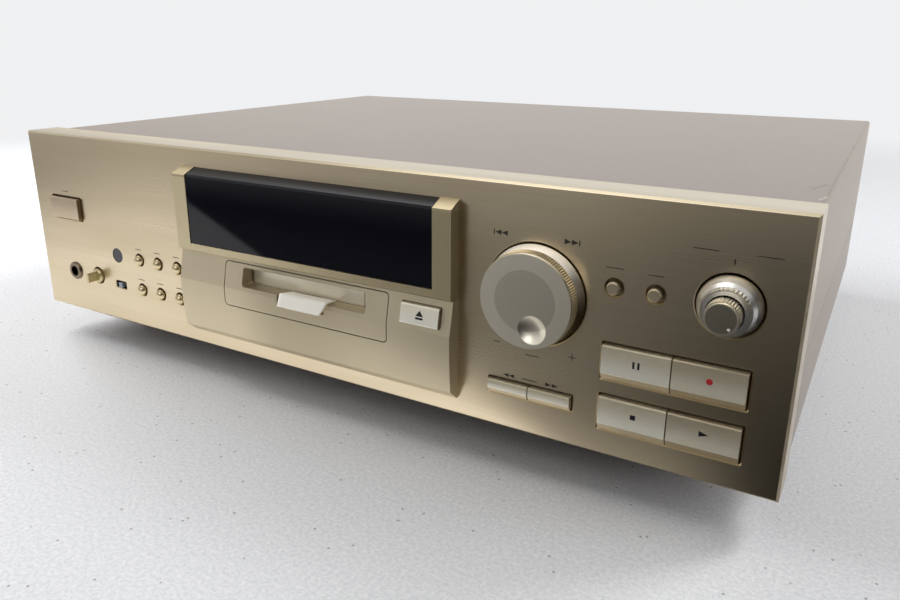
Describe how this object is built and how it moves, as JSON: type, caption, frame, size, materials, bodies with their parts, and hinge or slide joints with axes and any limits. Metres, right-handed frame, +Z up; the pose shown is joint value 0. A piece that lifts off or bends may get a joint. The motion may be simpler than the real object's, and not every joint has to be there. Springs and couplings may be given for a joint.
{
  "type": "minidisc deck",
  "caption": "Full-width minidisc recorder deck with a front loading slot under a display, jog dial, level knobs, keys and a disc mechanism.",
  "frame": {"origin": "floor level, under the middle of the overall box", "axes": "+X to the right seen from the front, +Y to the rear, +Z up"},
  "size_m": [0.44, 0.3714, 0.128],
  "materials": {
    "panel_metal": "brushed and anodised, champagne",
    "housing_paint": "fine satin paint, taupe",
    "foot_plastic": "moulded",
    "pad_rubber": "felt-faced",
    "screw_steel": "bronze zinc plated",
    "fascia_paint": "metallic champagne paint",
    "flap_plastic": "metallic champagne paint",
    "lens_black": "smoked, polished",
    "tube_glass": "clear over a dark grid",
    "key_paint": "metallic champagne paint",
    "dial_metal": "bead blasted and anodised",
    "black_plastic": "moulded",
    "slider_plastic": "moulded",
    "jack_brass": "gold plated nose",
    "jack_plastic": "moulded, plated shells",
    "board_resin": "paper laminate with components",
    "bare_steel": "zinc plated",
    "core_steel": "laminated core, varnished"
  },
  "bodies": {
    "deck": {"front_panel": "panel_metal", "top_cover": "housing_paint", "chassis": "housing_paint", "rear_panel": "housing_paint", "foot_front_left": "foot_plastic", "foot_front_right": "foot_plastic", "foot_rear_left": "foot_plastic", "foot_rear_right": "foot_plastic", "foot_pads": "pad_rubber", "housing_screws": "screw_steel", "display_bezel": "fascia_paint", "display_lens": "lens_black", "display_tube": "tube_glass", "slot_fascia": "fascia_paint", "slot_frame": "fascia_paint", "timer_switch": "black_plastic", "sensor_window": "black_plastic", "level_control": "black_plastic", "phones_control": "black_plastic", "phones_jack": "jack_brass", "control_boards": "board_resin", "board_posts": "bare_steel", "key_switches": "black_plastic", "main_board": "board_resin", "power_transformer": "core_steel", "line_jacks": "jack_plastic", "optical_sockets": "black_plastic", "mains_inlet": "black_plastic", "mech_frame": "bare_steel", "guide_rods": "bare_steel", "spindle_motor": "bare_steel"},
    "jog_carrier": {"jog_encoder": "black_plastic", "jog_holder": "bare_steel"},
    "jog": {"jog_dial": "dial_metal", "jog_shaft": "bare_steel"},
    "level_knob": {"level_knob": "dial_metal"},
    "balance_ring": {"balance_ring": "dial_metal"},
    "phones_knob": {"phones_knob": "dial_metal"},
    "power_button": {"power_button": "key_paint"},
    "upper_button_1": {"upper_button_1": "key_paint"},
    "upper_button_2": {"upper_button_2": "key_paint"},
    "upper_button_3": {"upper_button_3": "key_paint"},
    "lower_button_1": {"lower_button_1": "key_paint"},
    "lower_button_2": {"lower_button_2": "key_paint"},
    "lower_button_3": {"lower_button_3": "key_paint"},
    "rec_mode_button": {"rec_mode_button": "key_paint"},
    "enter_button": {"enter_button": "key_paint"},
    "pause_button": {"pause_button": "key_paint"},
    "record_button": {"record_button": "key_paint"},
    "stop_button": {"stop_button": "key_paint"},
    "play_button": {"play_button": "key_paint"},
    "search_back_button": {"search_back_button": "key_paint"},
    "search_forward_button": {"search_forward_button": "key_paint"},
    "eject_button": {"eject_button": "key_paint"},
    "slot_flap": {"slot_flap": "flap_plastic"},
    "timer_slider": {"timer_slider": "slider_plastic"},
    "loading_plate": {"loading_plate": "bare_steel"},
    "disc_holder": {"disc_holder": "bare_steel"},
    "turntable": {"turntable": "black_plastic"},
    "pickup_sled": {"pickup_sled": "black_plastic"}
  },
  "joints": [
    {"name": "jog_push", "type": "slide", "parent": "deck", "child": "jog_carrier", "axis": [0, 1, 0], "range_m": [0, 0.0007], "stiffness_N_per_m": 500},
    {"name": "jog_turn", "type": "hinge", "parent": "jog_carrier", "child": "jog", "pos_m": [0.1187, -0.17525, 0.0821], "axis": [0, -1, 0], "continuous": true},
    {"name": "level_knob_turn", "type": "hinge", "parent": "deck", "child": "level_knob", "pos_m": [0.19461, -0.18025, 0.0913], "axis": [0, -1, 0], "range_deg": [-150, 150]},
    {"name": "balance_ring_turn", "type": "hinge", "parent": "deck", "child": "balance_ring", "pos_m": [0.19461, -0.17425, 0.0913], "axis": [0, -1, 0], "range_deg": [-140, 140]},
    {"name": "phones_knob_turn", "type": "hinge", "parent": "deck", "child": "phones_knob", "pos_m": [-0.1687, -0.17425, 0.0437], "axis": [0, -1, 0], "range_deg": [-150, 150]},
    {"name": "power_button_push", "type": "slide", "parent": "deck", "child": "power_button", "axis": [0, 1, 0], "range_m": [0, 0.0018], "stiffness_N_per_m": 300},
    {"name": "upper_button_1_push", "type": "slide", "parent": "deck", "child": "upper_button_1", "axis": [0, 1, 0], "range_m": [0, 0.0006], "stiffness_N_per_m": 300},
    {"name": "upper_button_2_push", "type": "slide", "parent": "deck", "child": "upper_button_2", "axis": [0, 1, 0], "range_m": [0, 0.0006], "stiffness_N_per_m": 300},
    {"name": "upper_button_3_push", "type": "slide", "parent": "deck", "child": "upper_button_3", "axis": [0, 1, 0], "range_m": [0, 0.0006], "stiffness_N_per_m": 300},
    {"name": "lower_button_1_push", "type": "slide", "parent": "deck", "child": "lower_button_1", "axis": [0, 1, 0], "range_m": [0, 0.0006], "stiffness_N_per_m": 300},
    {"name": "lower_button_2_push", "type": "slide", "parent": "deck", "child": "lower_button_2", "axis": [0, 1, 0], "range_m": [0, 0.0006], "stiffness_N_per_m": 300},
    {"name": "lower_button_3_push", "type": "slide", "parent": "deck", "child": "lower_button_3", "axis": [0, 1, 0], "range_m": [0, 0.0006], "stiffness_N_per_m": 300},
    {"name": "rec_mode_button_push", "type": "slide", "parent": "deck", "child": "rec_mode_button", "axis": [0, 1, 0], "range_m": [0, 0.0006], "stiffness_N_per_m": 300},
    {"name": "enter_button_push", "type": "slide", "parent": "deck", "child": "enter_button", "axis": [0, 1, 0], "range_m": [0, 0.0006], "stiffness_N_per_m": 300},
    {"name": "pause_button_push", "type": "slide", "parent": "deck", "child": "pause_button", "axis": [0, 1, 0], "range_m": [0, 0.0006], "stiffness_N_per_m": 300},
    {"name": "record_button_push", "type": "slide", "parent": "deck", "child": "record_button", "axis": [0, 1, 0], "range_m": [0, 0.0006], "stiffness_N_per_m": 300},
    {"name": "stop_button_push", "type": "slide", "parent": "deck", "child": "stop_button", "axis": [0, 1, 0], "range_m": [0, 0.0006], "stiffness_N_per_m": 300},
    {"name": "play_button_push", "type": "slide", "parent": "deck", "child": "play_button", "axis": [0, 1, 0], "range_m": [0, 0.0006], "stiffness_N_per_m": 300},
    {"name": "search_back_button_push", "type": "slide", "parent": "deck", "child": "search_back_button", "axis": [0, 1, 0], "range_m": [0, 0.0006], "stiffness_N_per_m": 300},
    {"name": "search_forward_button_push", "type": "slide", "parent": "deck", "child": "search_forward_button", "axis": [0, 1, 0], "range_m": [0, 0.0006], "stiffness_N_per_m": 300},
    {"name": "eject_button_push", "type": "slide", "parent": "deck", "child": "eject_button", "axis": [0, 1, 0], "range_m": [0, 0.0006], "stiffness_N_per_m": 300},
    {"name": "slot_flap_swing", "type": "hinge", "parent": "deck", "child": "slot_flap", "pos_m": [-0.0013, -0.16865, 0.0719], "axis": [1, 0, 0], "range_deg": [0, 85], "stiffness_Nm_per_rad": 0.002},
    {"name": "timer_slide", "type": "slide", "parent": "deck", "child": "timer_slider", "axis": [1, 0, 0], "range_m": [-0.0025, 0.0025]},
    {"name": "loading_slide", "type": "slide", "parent": "deck", "child": "loading_plate", "axis": [0, 1, 0], "range_m": [0, 0.01]},
    {"name": "holder_drop", "type": "slide", "parent": "deck", "child": "disc_holder", "axis": [0, 0, -1], "range_m": [0, 0.0045]},
    {"name": "turntable_spin", "type": "hinge", "parent": "deck", "child": "turntable", "pos_m": [-0.0013, -0.10875, 0.0555], "axis": [0, 0, 1], "continuous": true},
    {"name": "pickup_travel", "type": "slide", "parent": "deck", "child": "pickup_sled", "axis": [0, 1, 0], "range_m": [0, 0.016]}
  ],
  "couplings": [
    {"joint": "holder_drop", "follows": "loading_slide", "ratio": 0.45}
  ]
}
